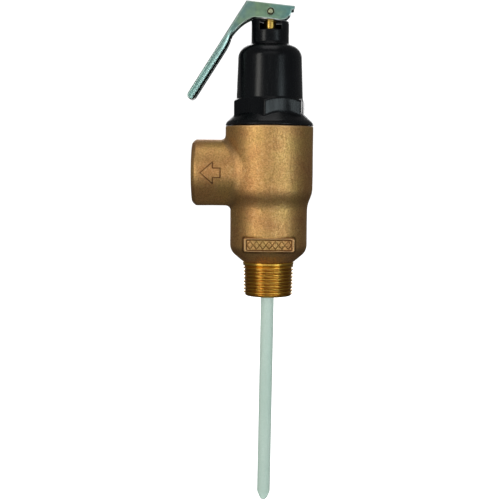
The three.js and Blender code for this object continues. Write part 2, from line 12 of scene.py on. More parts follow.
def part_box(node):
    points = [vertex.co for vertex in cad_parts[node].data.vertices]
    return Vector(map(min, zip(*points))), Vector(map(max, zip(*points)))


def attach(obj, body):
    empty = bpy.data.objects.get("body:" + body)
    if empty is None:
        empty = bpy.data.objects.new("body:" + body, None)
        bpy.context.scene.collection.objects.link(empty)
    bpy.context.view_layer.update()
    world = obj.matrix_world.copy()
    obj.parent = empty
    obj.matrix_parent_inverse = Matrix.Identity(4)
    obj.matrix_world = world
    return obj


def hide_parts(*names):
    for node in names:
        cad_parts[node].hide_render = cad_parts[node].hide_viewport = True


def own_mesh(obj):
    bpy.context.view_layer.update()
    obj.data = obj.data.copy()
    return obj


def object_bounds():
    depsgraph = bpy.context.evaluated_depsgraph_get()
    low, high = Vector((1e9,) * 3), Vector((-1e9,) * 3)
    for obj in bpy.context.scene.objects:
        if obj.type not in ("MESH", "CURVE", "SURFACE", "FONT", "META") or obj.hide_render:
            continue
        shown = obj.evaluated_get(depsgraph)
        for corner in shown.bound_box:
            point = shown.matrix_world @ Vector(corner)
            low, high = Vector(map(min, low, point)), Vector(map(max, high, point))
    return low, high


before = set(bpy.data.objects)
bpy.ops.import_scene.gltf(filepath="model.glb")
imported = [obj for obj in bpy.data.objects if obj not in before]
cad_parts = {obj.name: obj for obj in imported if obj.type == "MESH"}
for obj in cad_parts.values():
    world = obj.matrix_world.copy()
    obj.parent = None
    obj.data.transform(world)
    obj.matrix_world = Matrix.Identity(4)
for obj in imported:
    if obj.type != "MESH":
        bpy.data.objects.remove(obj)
CAD_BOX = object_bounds()
MM = 0.001
CELL = 0.36
FINE_CELL = 0.15


def cad_box(node):
    """A CAD node's lowest and highest corner, in millimetres."""
    return [np.array(corner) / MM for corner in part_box(node)]


# ---- Driving sizes, from the CAD frame where it holds them ---------------------------------------
BODY_LOW, BODY_HIGH = cad_box("body")
BONNET_LOW, BONNET_HIGH = cad_box("bonnet")
PIN_LOW, PIN_HIGH = cad_box("lever_pin")
STEM_LOW, STEM_HIGH = cad_box("stem")
SPRING_LOW, SPRING_HIGH = cad_box("spring")

# The casting's outside: two barrels, one above the other, and the outlet's hub.
UPPER_R = BODY_HIGH[0]
LOWER_R = 20.05
BODY_TOP = BODY_HIGH[2]
CASTING_LOW = 17.8
FOOT = (13.5, 17.9)
FOOT_NORMAL = (0.643, -0.766)
STEP = (21.15, 50.0)
STEP_NORMAL = (0.872, -0.49)
OUTLET_X = BODY_LOW[0]
OUTLET_Z = 63.9
OUTLET_R = 17.1
HUB_CHAMFER = 2.0
CAST_FILLET = 2.6
STEP_ROUND = 1.8
FACE_ROUND = 0.4
INNER_ROUND = 0.35
SAND_SIZE, SAND_DEPTH = 2.4, 0.04

# The casting's inside, from the inlet up to the bonnet's ledge and out through the socket.
BORE_R = 9.0
SEAT_R = 8.0
SEAT_BORE_LOW = 42.0
SEAT_Z = 50.0
NOZZLE_R = 9.8
CHAMBER_R = 18.6
CHAMBER_LOW, CHAMBER_HIGH = 46.5, 78.6
CHAMBER_FOOT_R = 16.45
CHAMBER_FOOT_NORMAL = (0.94, -0.34)
LEDGE_R = 16.3
LEDGE_Z = 80.0
BONNET_BORE_R = 19.3
PASSAGE_R = 11.0
SOCKET_R = 12.9
SOCKET_MOUTH_R = 13.6
SLEEVE_GAP = 0.25
SOCKET_END_X = OUTLET_X + 16

# The threads, both with 14 to the inch.
PITCH = 25.4 / 14
THREAD_DEPTH = 0.9
CREST_SHARE, FLANK_SHARE = 0.26, 0.5
INLET_CREST_R = 12.85
INLET_TAPER = 0.4 / 17.6
RUNOUT_Z, RUNOUT_LENGTH = 15.2, 1.4
LEAD_IN_LENGTH, LEAD_IN_DEPTH = 1.3, 1.5
INLET_BEAD = 0.55
INLET_BEAD_R = 12.72
BORE_CHAMFER = 0.6

# The bonnet, from its flange up to its slotted neck.
FLANGE_LOW, FLANGE_HIGH = 88.2, 95.1
FLANGE_EDGE_Z = 89.6
FLANGE_CONE_NORMAL = (5.5, 5.85)
HEX_R = 19.85
HEX_TURN = math.radians(-8)
HEX_TOP = 101.8
HEX_CHAMFER_Z = 100.3
HEX_CHAMFER_NORMAL = (0.55, 0.84)
DRUM_LOW_R, DRUM_HIGH_R = 17.15, 16.4
DRUM_LOW_Z, DRUM_HIGH_Z = 102.4, 122.9
DOME_TOP = 129.4
DOME_ROUND = 6.5
NECK_R = 9.65
NECK_TOP = 141.3
NECK_SLOPE = math.radians(5.2)
SLOT_FLOOR = 136.6
SLOT_WIDTH = 11.0
BONNET_THREAD_R = 19.0
BONNET_LOWEST = 83.3
SPRING_ROOM_R = 13.8
SPRING_ROOM_TOP = 119.0
FUNNEL_NORMAL = (7, 4)
FUNNEL_TOP = 126.6
NECK_BORE_R = 7.3

# The plate and the arrow.
PLATE_Z = 27.7
PLATE_HALF_WIDTH = 12.9
PLATE_HALF_HEIGHT = 3.5
PLATE_FRONT = -LOWER_R - 0.7
PLATE_BACK = -12.0
PLATE_CORNER_R = 0.8
FRAME_WIDTH, FRAME_HEIGHT, FRAME_DEPTH = 1.25, 0.7, 0.7
LOZENGE_PITCH = 3.2
LOZENGES_EACH_SIDE = 3
LOZENGE_HALF_HEIGHT = 2.0
LOZENGE_HEIGHT = 0.45
PLATE_REGION = ((-13.2, -21.0, 24.0), (13.2, -11.8, 31.4))
ARROW_TIP_X, ARROW_BACK_X, ARROW_TAIL_X = -35.2, -28.8, -24.9
ARROW_HALF_WIDTH, ARROW_SHAFT_HALF_WIDTH = 5.6, 2.5
ARROW_HEIGHT, ARROW_ROOT = 0.4, 1.2
ARROW_REGION = ((-35.4, -17.6, 58.0), (-24.7, -14.9, 69.8))

# The pin, and the probe, which leans a little.
PIN = np.array([0.0, (PIN_LOW[2] + PIN_HIGH[2]) / 2])
PIN_HOLE_R = 1.6
PROBE_LEAN = math.radians(0.67)
PROBE_PIVOT = 23.5
PROBE_R = 3.4
PROBE_WALL = 0.4
PROBE_TIP = -110.0
PROBE_TOP = 19.7

# ---- Distance fields -----------------------------------------------------------------------------
# A field is below zero inside a shape. k is how wide a blend between two shapes is, and the last
# number of each join and meet is that width.


def join(a, b, k):
    """Two shapes as one, with a fillet between them."""
    share = np.clip(0.5 + 0.5 * (b - a) / k, 0, 1)
    return b + (a - b) * share - k * share * (1 - share)


def meet(a, b, k):
    """What two shapes share, with its edges rounded."""
    return -join(-a, -b, k)


def slope(r, z, at, towards):
    """A half-plane in a profile, through the point at, with its outward normal along towards."""
    length = math.hypot(*towards)
    return ((r - at[0]) * towards[0] + (z - at[1]) * towards[1]) / length


def tube(r, z, radius, low, high):
    """A plain cylinder about an axis, from low to high along it."""
    return np.maximum(r - radius, np.maximum(low - z, z - high))


def polygon(x, z, corners):
    """Distance to a closed outline in a plane."""
    nearest = np.full(np.broadcast(x, z).shape, 1e9, np.float32)
    inside = np.zeros(nearest.shape, bool)
    for (x0, z0), (x1, z1) in zip(corners, corners[1:] + corners[:1]):
        ex, ez = x1 - x0, z1 - z0
        along = np.clip(((x - x0) * ex + (z - z0) * ez) / (ex * ex + ez * ez), 0, 1)
        away = (x - x0 - along * ex) ** 2 + (z - z0 - along * ez) ** 2
        nearest = np.minimum(nearest, away)
        if ez:
            inside ^= ((z0 > z) != (z1 > z)) & (x < (z - z0) * ex / ez + x0)
    return np.where(inside, -1, 1) * np.sqrt(nearest)


def uneven(x, y, z, size, height):
    """A gentle unevenness, such as a sand casting has, which only ever takes material away."""
    a = np.sin(x / size + 1.3 * np.sin(z / size * 0.7 + 1.0))
    b = np.sin(y / size * 1.1 + 1.7 * np.sin(x / size * 0.6 + 2.0))
    c = np.sin(z / size * 0.9 + 1.5 * np.sin(y / size * 0.8 + 0.5))
    return height * (1 + (a + b + c) / 3)


def surface(field, low, high, step):
    """A field's zero surface as points and quads: one point in each grid cell that it crosses."""
    before = 1.37 * step  # an odd share of a cell, so that no flat face lies in a plane of the grid
    axes = [np.arange(a - before, b + 2 * step, step, dtype=np.float32) for a, b in zip(low, high)]
    shape = [len(a) for a in axes]
    value = np.broadcast_to(field(*np.meshgrid(*axes, indexing="ij", sparse=True)), shape)
    inside = value < 0
    corners = list(itertools.product((0, 1), repeat=3))
    count = np.zeros([n - 1 for n in shape], np.int8)
    for corner in corners:
        count += inside[tuple(slice(c, c + n - 1) for c, n in zip(corner, shape))]
    cells = np.argwhere((count > 0) & (count < 8))
    index = np.full(count.shape, -1, np.int64)
    index[tuple(cells.T)] = np.arange(len(cells))
    total = np.zeros((len(cells), 3))
    hits = np.zeros(len(cells))
    for a, b in itertools.combinations(corners, 2):
        if sum(abs(i - j) for i, j in zip(a, b)) != 1:
            continue
        va = value[tuple((cells + a).T)]
        vb = value[tuple((cells + b).T)]
        crosses = (va < 0) != (vb < 0)
        share = va[crosses] / (va[crosses] - vb[crosses])
        total[crosses] += np.array(a) + share[:, None] * (np.array(b) - np.array(a))
        hits += crosses
    points = np.array([a[0] for a in axes]) + step * (cells + total / hits[:, None])
    faces = []
    for axis in range(3):
        u, v = (axis + 1) % 3, (axis + 2) % 3
        lower = tuple(slice(0, -1) if d == axis else slice(1, -1) for d in range(3))
        upper = tuple(slice(1, None) if d == axis else slice(1, -1) for d in range(3))
        at = np.argwhere(inside[lower] != inside[upper]) + [int(d != axis) for d in range(3)]

        def cell(du, dv):
            place = at.copy()
            place[:, u] -= du
            place[:, v] -= dv
            return index[tuple(place.T)]

        quads = np.stack([cell(1, 1), cell(0, 1), cell(0, 0), cell(1, 0)], 1)
        backwards = ~inside[tuple(at.T)]
        quads[backwards] = quads[backwards][:, ::-1]
        faces.append(quads)
    return points, np.concatenate(faces)


def gradient(points, field, reach=0.02):
    """A field's slope along X, Y and Z at each point."""
    sides = []
    for axis in range(3):
        move = np.zeros(3)
        move[axis] = reach
        sides.append((field(*(points + move).T) - field(*(points - move).T)) / (2 * reach))
    return np.stack(sides, 1)


def settle(points, field, step):
    """Moves the points onto the field's zero surface, at most half a cell each time."""
    for _ in range(3):
        away = field(*points.T)
        lean = gradient(points, field)
        move = (away / np.maximum((lean**2).sum(1), 0.05))[:, None] * lean
        points = points - np.clip(move, -step / 2, step / 2)
    return points


# ---- Meshes --------------------------------------------------------------------------------------
def piece(name, points, faces, material, body, node, sharp=None):
    """An object in the frame that rides on a CAD body and stands for one CAD node."""
    mesh = bpy.data.meshes.new(name)
    faces = faces.tolist() if isinstance(faces, np.ndarray) else faces
    mesh.from_pydata((np.asarray(points) * MM).tolist(), [], faces)
    mesh.polygons.foreach_set("use_smooth", [True] * len(mesh.polygons))
    if sharp:
        mesh.set_sharp_from_angle(angle=math.radians(sharp))
    mesh.materials.append(material)
    mesh.update()
    made = bpy.data.objects.new(name, mesh)
    bpy.context.scene.collection.objects.link(made)
    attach(made, body)
    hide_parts(node)
    return made


def mark(made, name, value):
    """A vertex attribute from 0 to 1, which the materials read by its name."""
    attribute = made.data.attributes.new(name, "FLOAT", "POINT")
    attribute.data.foreach_set("value", np.clip(value, 0, 1).astype(np.float32))


def places(made):
    """A piece's vertices as x, y and z in millimetres."""
    points = np.empty(len(made.data.vertices) * 3)
    made.data.vertices.foreach_get("co", points)
    return points.reshape(-1, 3).T / MM


def mark_edges(made, points, field, depth):
    """Wear on outward edges and painted shade in inward corners, from the field on either side of a point.
    """
    lean = gradient(points, field)
    normal = lean / np.linalg.norm(lean, axis=1)[:, None]
    mark(made, "wear", (field(*(points - depth * normal).T) + depth) / depth * 2.5)
    # Painted shade: how far a point sits in an inward corner.
    mark(made, "hollow_shade", (depth - field(*(points + depth * normal).T)) / depth * 2.5)


def mark_crease_shade(made):
    """Painted shade along the arrow's edge, and a painted shadow on the casting close round the plate where
    it stands off.
    """
    x, y, z = places(made)
    line_width, shade_width = 0.32, 1.1
    # Painted shade along the foot of the arrow's edge.
    line = np.clip(1.3 - np.abs(arrow_outline(x, z) + 0.1) / line_width, 0, 1)
    # Painted shadow on the casting round the plate, stronger where the plate stands further off.
    stands_off = np.clip((y - PLATE_FRONT - 0.6) / 1.8, 0, 1)
    from_plate = plate_outline(x, z, PLATE_HALF_WIDTH, PLATE_HALF_HEIGHT)
    round_plate = np.clip(1.25 - from_plate / shade_width, 0, 1)
    mark(made, "crease_shade", np.maximum(line, round_plate * stands_off) * (y < 0))


def field_piece(name, field, low, high, step, material, body, slot, node, depth=0.8):
    """A piece made from a field, with wear marks and painted corner shade that reach depth into its edges.
    """
    points, faces = surface(field, low, high, step)
    points = settle(points, field, step)
    made = piece(name, points, faces, material, body, node)
    mark_edges(made, points, field, depth)
    return made


def wrap_faces(rows, columns, closed_rows):
    """Quads of a grid that closes round its columns, and round its rows too if closed_rows."""
    faces = []
    for i in range(rows if closed_rows else rows - 1):
        below, above = i * columns, (i + 1) % rows * columns
        for j in range(columns):
            k = (j + 1) % columns
            faces.append((below + j, below + k, above + k, above + j))
    return faces


def revolve(profile, columns=96):
    """A turned shape about Z from (radius, height) pairs, anticlockwise, that close on themselves."""
    turn = np.linspace(0, 2 * math.pi, columns, endpoint=False)
    rows = np.asarray(profile, float)
    r, z = rows[:, 0, None], rows[:, 1, None]
    points = np.stack([r * np.cos(turn), r * np.sin(turn), z + 0 * turn], -1).reshape(-1, 3)
    return points, wrap_faces(len(rows), columns, True)


def revolve_solid(profile, columns=96):
    """A turned shape whose profile starts and ends on the axis, closed there with a fan."""
    turn = np.linspace(0, 2 * math.pi, columns, endpoint=False)
    rows = np.asarray(profile[1:-1], float)
    r, z = rows[:, 0, None], rows[:, 1, None]
    points = np.stack([r * np.cos(turn), r * np.sin(turn), z + 0 * turn], -1).reshape(-1, 3)
    ends = [[0, 0, profile[0][1]], [0, 0, profile[-1][1]]]
    faces = wrap_faces(len(rows), columns, False)
    low, high, last = len(points), len(points) + 1, (len(rows) - 1) * columns
    for j in range(columns):
        k = (j + 1) % columns
        faces.append((low, k, j))
        faces.append((high, last + j, last + k))
    return np.concatenate([points, ends]), faces


def rounded(corners, radius, steps=4, closed=False):
    """A profile whose corners are rounded by small curves. The two ends of an open one stay."""
    out = []
    count = len(corners)
    for i, corner in enumerate(corners):
        if not closed and i in (0, count - 1):
            out.append(corner)
            continue
        here = np.array(corner, float)
        before = np.array(corners[i - 1], float) - here
        after = np.array(corners[(i + 1) % count], float) - here
        reach = min(radius, np.linalg.norm(before) * 0.45, np.linalg.norm(after) * 0.45)
        a = here + before / np.linalg.norm(before) * reach
        b = here + after / np.linalg.norm(after) * reach
        for t in np.linspace(0, 1, steps):
            out.append(tuple((1 - t) ** 2 * a + 2 * t * (1 - t) * here + t * t * b))
    return out


def turned_about(points, angle, pivot_z):
    """The points, turned about a line along Y through (0, 0, pivot_z)."""
    pivot = np.array([0, 0, pivot_z])
    turn = np.array(Matrix.Rotation(angle, 3, "Y"))
    return (points - pivot) @ turn.T + pivot


def laid_along_y(points, x, z):
    """A shape turned about Z, laid along Y through (x, z)."""
    return np.stack([points[:, 0] + x, points[:, 2], -points[:, 1] + z], 1)


# ---- Materials -----------------------------------------------------------------------------------
class Finish:
    """A material under construction: a Principled shader and the nodes that feed it."""

    def __init__(self, name, metallic, roughness, **sockets):
        self.material = bpy.data.materials.new(name)
        self.material.use_nodes = True
        self.tree = self.material.node_tree
        self.shader = self.tree.nodes["Principled BSDF"]
        self.shader.inputs["Metallic"].default_value = metallic
        self.shader.inputs["Roughness"].default_value = roughness
        for socket, value in sockets.items():
            self.shader.inputs[socket.replace("_", " ")].default_value = value
        self.place = self.node("ShaderNodeTexCoord").outputs["Object"]

    def node(self, kind, **inputs):
        made = self.tree.nodes.new(kind)
        for name, value in inputs.items():
            self.feed(made.inputs[name.replace("_", " ")], value)
        return made

    def feed(self, socket, value):
        if isinstance(value, bpy.types.NodeSocket):
            self.tree.links.new(value, socket)
        else:
            socket.default_value = value

    def stretched(self, x, y, z):
        """The place, scaled along each axis, so that a pattern runs long or short there."""
        made = self.node("ShaderNodeMapping", Vector=self.place)
        made.inputs["Scale"].default_value = (x, y, z)
        return made.outputs["Vector"]

    def noise(self, scale, detail=2.0, roughness=0.5, place=None):
        made = self.node("ShaderNodeTexNoise", Vector=place or self.place)
        made.inputs["Scale"].default_value = scale
        made.inputs["Detail"].default_value = detail
        made.inputs["Roughness"].default_value = roughness
        return made.outputs["Fac"]

    def cells(self, scale, place=None):
        made = self.node("ShaderNodeTexVoronoi", Vector=place or self.place)
        made.inputs["Scale"].default_value = scale
        return made.outputs["Distance"]

    def ramp(self, value, *stops):
        """A value turned into a colour or a grey through stops of (position, colour or grey)."""
        made = self.node("ShaderNodeValToRGB", Fac=value)
        ramp = made.color_ramp
        while len(ramp.elements) < len(stops):
            ramp.elements.new(0.5)
        for element, (position, shade) in zip(ramp.elements, stops):
            element.position = position
            element.color = (*shade, 1) if isinstance(shade, tuple) else (shade, shade, shade, 1)
        return made.outputs["Color"]

    def range(self, value, low, high, to_low, to_high):
        made = self.node("ShaderNodeMapRange", Value=value)
        for name, number in zip(("From Min", "From Max", "To Min", "To Max"), (low, high, to_low, to_high)):
            made.inputs[name].default_value = number
        return made.outputs["Result"]

    def mix(self, share, a, b, blend="MIX"):
        made = self.tree.nodes.new("ShaderNodeMix")
        made.data_type = "RGBA"
        made.blend_type = blend
        self.feed(made.inputs["Factor"], share)
        self.feed(made.inputs[6], a)
        self.feed(made.inputs[7], b)
        return made.outputs[2]

    def math(self, operation, a, b):
        made = self.tree.nodes.new("ShaderNodeMath")
        made.operation = operation
        self.feed(made.inputs[0], a)
        self.feed(made.inputs[1], b)
        return made.outputs[0]

    def mark(self, name):
        made = self.tree.nodes.new("ShaderNodeAttribute")
        made.attribute_name = name
        return made.outputs["Fac"]

    def set(self, socket, value):
        self.feed(self.shader.inputs[socket], value)

    def bump(self, *layers):
        """Bump from (height value, distance in metres, strength), one on top of the other."""
        normal = None
        for height, distance, strength in layers:
            made = self.node("ShaderNodeBump", Height=height)
            made.inputs["Distance"].default_value = distance
            made.inputs["Strength"].default_value = strength
            if normal:
                self.feed(made.inputs["Normal"], normal)
            normal = made.outputs["Normal"]
        self.set("Normal", normal)


def colour(r, g, b):
    """A linear colour from one as it looks on a screen, 0 to 255."""
    channels = (c / 255 for c in (r, g, b))
    return tuple(c / 12.92 if c <= 0.04045 else ((c + 0.055) / 1.055) ** 2.4 for c in channels)


def cast_bronze():
    """Sand-cast bronze: grainy, bright where worn, with painted shade in its corners and creases."""
    look = Finish("cast_bronze_look", 1.0, 0.5)
    drift = look.noise(70, 3, 0.55)
    tone = look.ramp(
        drift,
        (0.34, colour(212, 158, 102)),
        (0.50, colour(224, 176, 112)),
        (0.66, colour(222, 182, 112)),
    )
    grains = look.noise(1300, 3, 0.7)
    sand = look.noise(620, 2, 0.6)
    tone = look.mix(look.range(grains, 0.36, 0.60, 0.5, 0.0), tone, (*colour(150, 104, 60), 1))
    tone = look.mix(look.range(sand, 0.55, 0.72, 0.0, 0.35), tone, (*colour(244, 208, 146), 1))
    # Painted shade: dark brown in inward corners.
    tone = look.mix(look.math("MULTIPLY", look.mark("hollow_shade"), 0.7), tone, (*colour(96, 58, 30), 1))
    tone = look.mix(look.math("MULTIPLY", look.mark("wear"), 0.5), tone, (*colour(240, 200, 150), 1))
    # Painted shade at the arrow's edge and in the plate's groove, and a painted shadow round the plate.
    tone = look.mix(look.math("MULTIPLY", look.mark("crease_shade"), 0.85), tone, (*colour(84, 42, 8), 1))
    look.set("Base Color", tone)
    look.set("Roughness", look.range(grains, 0.3, 0.7, 0.58, 0.45))
    look.bump((look.noise(420, 2, 0.5), 0.0004, 0.1), (sand, 0.0003, 0.3), (grains, 0.0002, 0.5))
    return look.material


def machined_brass(name, tone, lines_along, roughness):
    """Turned brass or bronze: bright, with fine tool lines square to the axis that it turned on."""
    look = Finish(name, 1.0, roughness)
    stretch = [1.0 if axis == lines_along else 0.04 for axis in "XYZ"]
    lines = look.noise(2600, 2, 0.6, look.stretched(*stretch))
    blotches = look.noise(240, 3, 0.6)
    dark = tuple(c * 0.62 for c in tone)
    blotched = look.mix(look.range(blotches, 0.35, 0.7, 0.3, 0.0), (*tone, 1), (*dark, 1))
    # Painted shade: darker in inward corners and in the thread's roots.
    shade_share = look.math("MULTIPLY", look.mark("hollow_shade"), 0.45)
    look.set("Base Color", look.mix(shade_share, blotched, (*colour(158, 82, 18), 1)))
    look.set("Roughness", look.range(lines, 0.3, 0.7, roughness, roughness + 0.08))
    look.bump((lines, 0.00008, 0.15))
    return look.material


def black_moulding():
    """A satin black moulding with faint streaks along its height."""
    look = Finish("black_moulding_look", 0.0, 0.24, Specular_IOR_Level=0.2)
    patches = look.noise(90, 3, 0.55)
    look.set("Base Color", look.ramp(patches, (0.3, colour(6, 7, 9)), (0.7, colour(10, 12, 14))))
    fine = look.noise(2200, 2, 0.6)
    streaks = look.noise(500, 3, 0.6, look.stretched(1, 1, 0.06))
    fine_rough = look.range(fine, 0.3, 0.7, 0.2, 0.28)
    rough = look.math("ADD", fine_rough, look.range(streaks, 0.3, 0.7, -0.03, 0.05))
    rough = look.math("ADD", rough, look.math("MULTIPLY", look.mark("wear"), 0.06))
    look.set("Roughness", rough)
    look.bump((streaks, 0.0002, 0.12), (fine, 0.00005, 0.25))
    return look.material


def plated_sheet():
    """Zinc plate with an uneven passivation that drifts from green through teal to blue, and painted shade
    inside the channel.
    """
    look = Finish("plated_sheet_look", 1.0, 0.3)
    along = look.node("ShaderNodeSeparateXYZ", Vector=look.place).outputs["X"]
    along = look.range(along, -0.043, 0.013, 0, 1)
    drift = look.range(look.noise(95, 3, 0.55), 0.3, 0.7, -0.16, 0.16)
    tone = look.ramp(
        look.math("ADD", along, drift),
        (0.10, colour(132, 184, 176)),
        (0.42, colour(150, 188, 180)),
        (0.58, colour(166, 200, 160)),
        (0.72, colour(160, 196, 160)),
        (0.92, colour(138, 190, 184)),
    )
    clouds = look.noise(500, 3, 0.6)
    tone = look.mix(look.range(clouds, 0.35, 0.7, 0.3, 0.0), tone, (*colour(104, 142, 132), 1))
    tone = look.mix(look.math("MULTIPLY", look.mark("wear"), 0.5), tone, (*colour(222, 232, 224), 1))
    # Painted shade on the faces inside the lever's channel.
    tone = look.mix(look.math("MULTIPLY", look.mark("inside"), 0.9), tone, (*colour(30, 38, 36), 1))
    look.set("Base Color", tone)
    brushed = look.noise(1800, 2, 0.6, look.stretched(0.25, 1, 1))
    look.set("Roughness", look.range(clouds, 0.3, 0.7, 0.29, 0.38))
    look.bump((look.noise(180, 2, 0.5), 0.0004, 0.1), (brushed, 0.00005, 0.07))
    return look.material


def plain_metal(name, tone, roughness, grain=900):
    """A plated or drawn metal with faint clouding and fine handling marks."""
    look = Finish(name, 1.0, roughness)
    clouds = look.noise(grain * 0.3, 3, 0.6)
    marks = look.noise(grain * 2.5, 2, 0.6)
    dark = tuple(c * 0.6 for c in tone)
    clouded = look.mix(look.range(clouds, 0.35, 0.7, 0.6, 0.0), (*tone, 1), (*dark, 1))
    # Painted shade in marked creases, such as the sunk ring round the pin's boss.
    look.set("Base Color", look.mix(look.mark("crease_shade"), clouded, (*colour(40, 42, 34), 1)))
    look.set("Roughness", look.range(marks, 0.3, 0.7, roughness, roughness + 0.1))
    look.bump((marks, 0.00006, 0.3))
    return look.material


def probe_polymer():
    """The probe's pale coat, slightly see-through and faintly speckled."""
    look = Finish("probe_polymer_look", 0.0, 0.38, Subsurface_Weight=0.15, Subsurface_Scale=0.002)
    look.shader.inputs["Subsurface Radius"].default_value = (1.0, 1.0, 0.9)
    long_drift = look.noise(60, 2, 0.5, look.stretched(1, 1, 0.35))
    tone = look.ramp(long_drift, (0.3, colour(158, 179, 168)), (0.7, colour(171, 188, 178)))
    specks = look.noise(1400, 3, 0.6)
    tone = look.mix(look.range(specks, 0.3, 0.6, 0.3, 0.0), tone, (*colour(138, 166, 153), 1))
    look.set("Base Color", tone)
    look.set("Roughness", look.range(specks, 0.3, 0.7, 0.3, 0.46))
    look.bump((look.noise(300, 2, 0.5), 0.0003, 0.15), (specks, 0.00006, 0.2))
    return look.material


def dull_solid(name, tone, roughness, speck):
    """Rubber or wax: a dull body colour with specks and a slightly rough skin."""
    look = Finish(name, 0.0, roughness)
    specks = look.noise(1500, 3, 0.6)
    look.set("Base Color", look.mix(look.range(specks, 0.4, 0.65, 0.0, 0.6), (*tone, 1), (*speck, 1)))
    look.set("Roughness", look.range(specks, 0.3, 0.7, roughness * 0.85, min(roughness * 1.15, 1)))
    look.bump((specks, 0.0001, 0.3))
    return look.material


# Smoother metal than this renders with grainy reflections.
METAL_ROUGHNESS = 0.285

BRONZE = cast_bronze()
THREAD_BRASS = machined_brass("machined_inlet_look", colour(228, 180, 78), "Z", METAL_ROUGHNESS)
OUTLET_BRASS = machined_brass("machined_outlet_look", colour(216, 164, 84), "X", 0.29)
STEM_BRASS = machined_brass("turned_stem_look", colour(232, 190, 96), "Z", METAL_ROUGHNESS)
BLACK = black_moulding()
PLATED = plated_sheet()
STEEL = plain_metal("plated_steel_look", colour(196, 200, 200), METAL_ROUGHNESS)
PIN_STEEL = plain_metal("plated_pin_look", colour(206, 210, 170), METAL_ROUGHNESS)
WIRE = plain_metal("spring_wire_look", colour(128, 132, 138), 0.34)
COPPER = plain_metal("drawn_copper_look", colour(212, 140, 104), METAL_ROUGHNESS)
POLYMER = probe_polymer()
RUBBER = dull_solid("seal_rubber_look", colour(34, 34, 36), 0.62, colour(52, 52, 54))
WAX = dull_solid("charge_wax_look", colour(150, 84, 50), 0.55, colour(206, 132, 84))


# ---- Body ----------------------------------------------------------------------------------------
def casting_outside(x, y, z):
    """Two barrels joined by a step, with the outlet's hub at their side."""
    r = np.hypot(x, y)
    hub_r = np.hypot(y, z - OUTLET_Z)
    lower = meet(r - LOWER_R, slope(r, z, FOOT, FOOT_NORMAL), CAST_FILLET)
    lower = meet(lower, CASTING_LOW - z, 0.5)
    upper = meet(r - UPPER_R, slope(r, z, STEP, STEP_NORMAL), STEP_ROUND)
    barrel = join(np.maximum(lower, z - BODY_TOP + 3), upper, STEP_ROUND)
    barrel = meet(barrel, z - BODY_TOP, FACE_ROUND)
    hub = meet(hub_r - OUTLET_R, OUTLET_X - x, FACE_ROUND)
    chamfer = (hub_r - OUTLET_R + OUTLET_X - x + HUB_CHAMFER) / math.sqrt(2)
    hub = meet(hub, chamfer, 0.6)
    hub = np.maximum(hub, x)
    return join(barrel, hub, CAST_FILLET) + uneven(x, y, z, SAND_SIZE, SAND_DEPTH)


def casting_inside(x, y, z):
    """The waterway: inlet bore, seat nozzle, chamber, bonnet bore, passage and socket."""
    r = np.hypot(x, y)
    hub_r = np.hypot(y, z - OUTLET_Z)
    bore = tube(r, z, BORE_R, -1, SEAT_BORE_LOW + 1)
    bore = np.minimum(bore, tube(r, z, SEAT_R, SEAT_BORE_LOW, SEAT_Z + 1))
    foot = slope(r, z, (CHAMBER_FOOT_R, CHAMBER_LOW), CHAMBER_FOOT_NORMAL)
    chamber = meet(r - CHAMBER_R, foot, 1.5)
    chamber = meet(chamber, np.maximum(CHAMBER_LOW - z, z - CHAMBER_HIGH), 1.0)
    nozzle = np.maximum(r - NOZZLE_R, z - SEAT_Z)
    chamber = np.maximum(chamber, -nozzle)
    throat = tube(r, z, LEDGE_R, LEDGE_Z - 3, LEDGE_Z + 1)
    ledge = np.minimum(throat, tube(r, z, BONNET_BORE_R, LEDGE_Z, BODY_TOP + 2))
    passage = np.maximum(hub_r - PASSAGE_R, np.maximum(x + 6, SOCKET_END_X - 1 - x))
    socket = np.maximum(hub_r - SOCKET_R - SLEEVE_GAP, x - SOCKET_END_X)
    mouth = (hub_r - SOCKET_MOUTH_R + x - OUTLET_X) / math.sqrt(2)
    bores = np.minimum(np.minimum(bore, chamber), ledge)
    return np.minimum(np.minimum(bores, passage), np.minimum(socket, mouth))


def casting(x, y, z):
    return meet(casting_outside(x, y, z), -casting_inside(x, y, z), INNER_ROUND)


def arrow_outline(x, z):
    """Distance to the outline of the flow arrow on the hub's front."""
    top = [
        (ARROW_TIP_X, 0),
        (ARROW_BACK_X, ARROW_HALF_WIDTH),
        (ARROW_BACK_X, ARROW_SHAFT_HALF_WIDTH),
        (ARROW_TAIL_X, ARROW_SHAFT_HALF_WIDTH),
    ]
    corners = top + [(a, -b) for a, b in reversed(top[1:])]
    return polygon(x, z - OUTLET_Z, corners)


def arrow_shape(x, y, z):
    """A raised arrow whose face follows the hub."""
    hub_r = np.hypot(y, z - OUTLET_Z)
    skin = np.maximum(hub_r - OUTLET_R - ARROW_HEIGHT, OUTLET_R - ARROW_ROOT - hub_r)
    return meet(arrow_outline(x, z), skin, 0.25)


def plate_outline(x, z, half_width, half_height):
    """Distance to a rectangle with rounded corners about the plate's middle."""
    dx = np.abs(x) - half_width + PLATE_CORNER_R
    dz = np.abs(z - PLATE_Z) - half_height + PLATE_CORNER_R
    outside = np.hypot(np.maximum(dx, 0), np.maximum(dz, 0))
    return outside + np.minimum(np.maximum(dx, dz), 0) - PLATE_CORNER_R


def frame_inside(x, z):
    """Distance to the inner edge of the plate's frame."""
    return plate_outline(x, z, PLATE_HALF_WIDTH - FRAME_WIDTH, PLATE_HALF_HEIGHT - FRAME_HEIGHT)


def lozenges(x, z):
    """Distance to a row of lozenges."""
    nearest = np.clip(np.round(x / LOZENGE_PITCH), -LOZENGES_EACH_SIDE, LOZENGES_EACH_SIDE)
    across = np.abs(x - LOZENGE_PITCH * nearest)
    steepness, length = 1.3, 1.64
    return (across * steepness + np.abs(z - PLATE_Z) - LOZENGE_HALF_HEIGHT) / length


